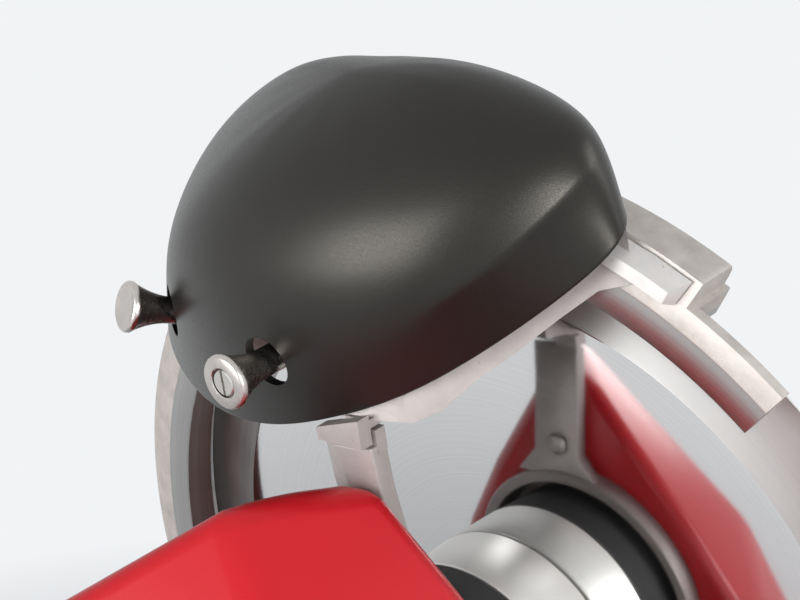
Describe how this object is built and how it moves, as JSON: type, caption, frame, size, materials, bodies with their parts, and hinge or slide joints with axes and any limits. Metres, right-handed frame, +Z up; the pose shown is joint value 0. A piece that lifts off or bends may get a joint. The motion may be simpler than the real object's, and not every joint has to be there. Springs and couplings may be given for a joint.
{
  "type": "meat slicer",
  "caption": "Gravity-feed meat slicer with inclined round blade, sliding product tray, thickness dial and a two-stone sharpener under a black dome over the blade.",
  "frame": {"origin": "on the table under the middle of the machine's bounding box", "axes": "+Z up; the operator stands at -Y; the carriage and the uncut food are on +X, the slices fall on -X"},
  "size_m": [0.4203, 0.487, 0.4011],
  "materials": {
    "red_paint": "glossy enamel with fine orange peel",
    "black_cover": "fine-grained matt",
    "black_plastic": "satin",
    "rubber": "matt",
    "cast_aluminium": "as cast, blasted",
    "satin_aluminium": "anodised satin",
    "blade_steel": "mirror-ground, hard-chromed steel",
    "brushed_steel": "brushed",
    "turned_steel": "turned and polished",
    "plated_steel": "zinc plated",
    "abrasive": "rough abrasive",
    "clear_plastic": "clear",
    "green_plastic": "satin",
    "red_plastic": "satin"
  },
  "bodies": {
    "base": {"base_housing": "red_paint", "bottom_plate": "plated_steel", "foot_1": "rubber", "foot_2": "rubber", "foot_3": "rubber", "foot_4": "rubber", "motor_housing": "red_paint", "blade_frame": "cast_aluminium", "arm_bolt": "cast_aluminium", "ring_guard": "cast_aluminium", "blade_cover": "satin_aluminium", "sharpener_bracket": "cast_aluminium", "sharpener_cover": "black_cover", "deburring_bush": "plated_steel", "grinding_bush": "plated_steel", "deburring_spring": "plated_steel", "grinding_spring": "plated_steel", "front_bearing": "plated_steel", "rear_bearing": "plated_steel", "drive_plate": "plated_steel", "drive_belt": "rubber", "motor_body": "plated_steel", "gauge_bracket": "plated_steel", "gauge_rod": "plated_steel", "carriage_rod_1": "brushed_steel", "carriage_rod_2": "brushed_steel", "switch_plate": "black_plastic", "slice_deflector": "brushed_steel", "cable_gland": "rubber"},
    "blade": {"blade": "blade_steel", "blade_hub": "brushed_steel", "blade_nut": "plated_steel", "hub_collar": "rubber", "blade_spindle": "plated_steel", "blade_pulley": "plated_steel"},
    "rotor": {"motor_shaft": "plated_steel", "motor_pulley": "plated_steel"},
    "tie_rod": {"cover_tie_rod": "turned_steel"},
    "deburring_plunger": {"deburring_knob": "turned_steel", "deburring_screw": "turned_steel", "deburring_rod": "plated_steel"},
    "deburring_stone": {"deburring_wheel": "abrasive"},
    "grinding_plunger": {"grinding_knob": "turned_steel", "grinding_rod": "plated_steel"},
    "grinding_stone": {"grinding_wheel": "abrasive"},
    "gauge": {"gauge_plate": "satin_aluminium"},
    "index": {"index_camshaft": "plated_steel", "index_dial": "black_plastic"},
    "carriage": {"carriage_slider": "cast_aluminium", "carriage_arm": "cast_aluminium", "product_tray": "satin_aluminium", "hand_guard": "clear_plastic", "grip_rod": "brushed_steel"},
    "lock_knob": {"tray_knob": "black_plastic"},
    "grip_bush": {"grip_bush": "black_plastic"},
    "grip": {"grip_arm": "cast_aluminium", "grip_plate": "brushed_steel", "grip_knob": "black_plastic"},
    "start": {"start_button": "green_plastic"},
    "stop": {"stop_button": "red_plastic"}
  },
  "joints": [
    {"name": "blade_spin", "type": "hinge", "parent": "base", "child": "blade", "pos_m": [-0.01, 0.0935, 0.24], "axis": [-0.9781, 0, -0.2079], "continuous": true},
    {"name": "motor_spin", "type": "hinge", "parent": "base", "child": "rotor", "pos_m": [-0.05004, 0.1035, 0.14459], "axis": [-0.9781, 0, -0.2079], "continuous": true},
    {"name": "tie_rod_turn", "type": "hinge", "parent": "base", "child": "tie_rod", "pos_m": [0.00166, 0.21381, 0.18512], "axis": [-0.9781, 0, -0.2079], "range_deg": [0, 180]},
    {"name": "deburring_push", "type": "slide", "parent": "base", "child": "deburring_plunger", "axis": [0.9781, 0, 0.2079], "range_m": [0, 0.0025], "stiffness_N_per_m": 600, "springref_m": -0.006, "deforming": ["deburring_spring"]},
    {"name": "deburring_wheel_spin", "type": "hinge", "parent": "deburring_plunger", "child": "deburring_stone", "pos_m": [-0.03733, 0.1131, 0.3397], "axis": [-0.9781, 0, -0.2079], "continuous": true},
    {"name": "grinding_push", "type": "slide", "parent": "base", "child": "grinding_plunger", "axis": [0.9426, -0.2759, -0.1879], "range_m": [0, 0.0025], "stiffness_N_per_m": 600, "springref_m": -0.006, "deforming": ["grinding_spring"]},
    {"name": "grinding_wheel_spin", "type": "hinge", "parent": "grinding_plunger", "child": "grinding_stone", "pos_m": [-0.0369, 0.15845, 0.32568], "axis": [-0.9426, 0.2759, 0.1879], "continuous": true},
    {"name": "gauge_slide", "type": "slide", "parent": "base", "child": "gauge", "axis": [-0.9781, 0, -0.2079], "range_m": [0, 0.014]},
    {"name": "index_turn", "type": "hinge", "parent": "base", "child": "index", "pos_m": [0.04197, -0.0425, 0.06089], "axis": [0, -1, 0], "range_deg": [0, 300]},
    {"name": "carriage_slide", "type": "slide", "parent": "base", "child": "carriage", "axis": [0, 1, 0], "range_m": [0, 0.24]},
    {"name": "tray_lock", "type": "hinge", "parent": "carriage", "child": "lock_knob", "pos_m": [0.153, -0.0925, 0.19153], "axis": [-0.2079, 0, 0.9781], "range_deg": [0, 90]},
    {"name": "grip_slide", "type": "slide", "parent": "carriage", "child": "grip_bush", "axis": [0.9781, 0, 0.2079], "range_m": [0, 0.13]},
    {"name": "grip_swing", "type": "hinge", "parent": "grip_bush", "child": "grip", "pos_m": [-0.02123, -0.2305, 0.29282], "axis": [0.9781, 0, 0.2079], "range_deg": [0, 100]},
    {"name": "start_press", "type": "slide", "parent": "base", "child": "start", "axis": [0, 1, 0], "range_m": [0, 0.0025], "stiffness_N_per_m": 300, "springref_m": -0.004},
    {"name": "stop_press", "type": "slide", "parent": "base", "child": "stop", "axis": [0, 1, 0], "range_m": [0, 0.0025], "stiffness_N_per_m": 300, "springref_m": -0.004}
  ],
  "couplings": [
    {"joint": "motor_spin", "follows": "blade_spin", "ratio": 4},
    {"joint": "index_turn", "follows": "gauge_slide", "rad_per_m": 374}
  ]
}
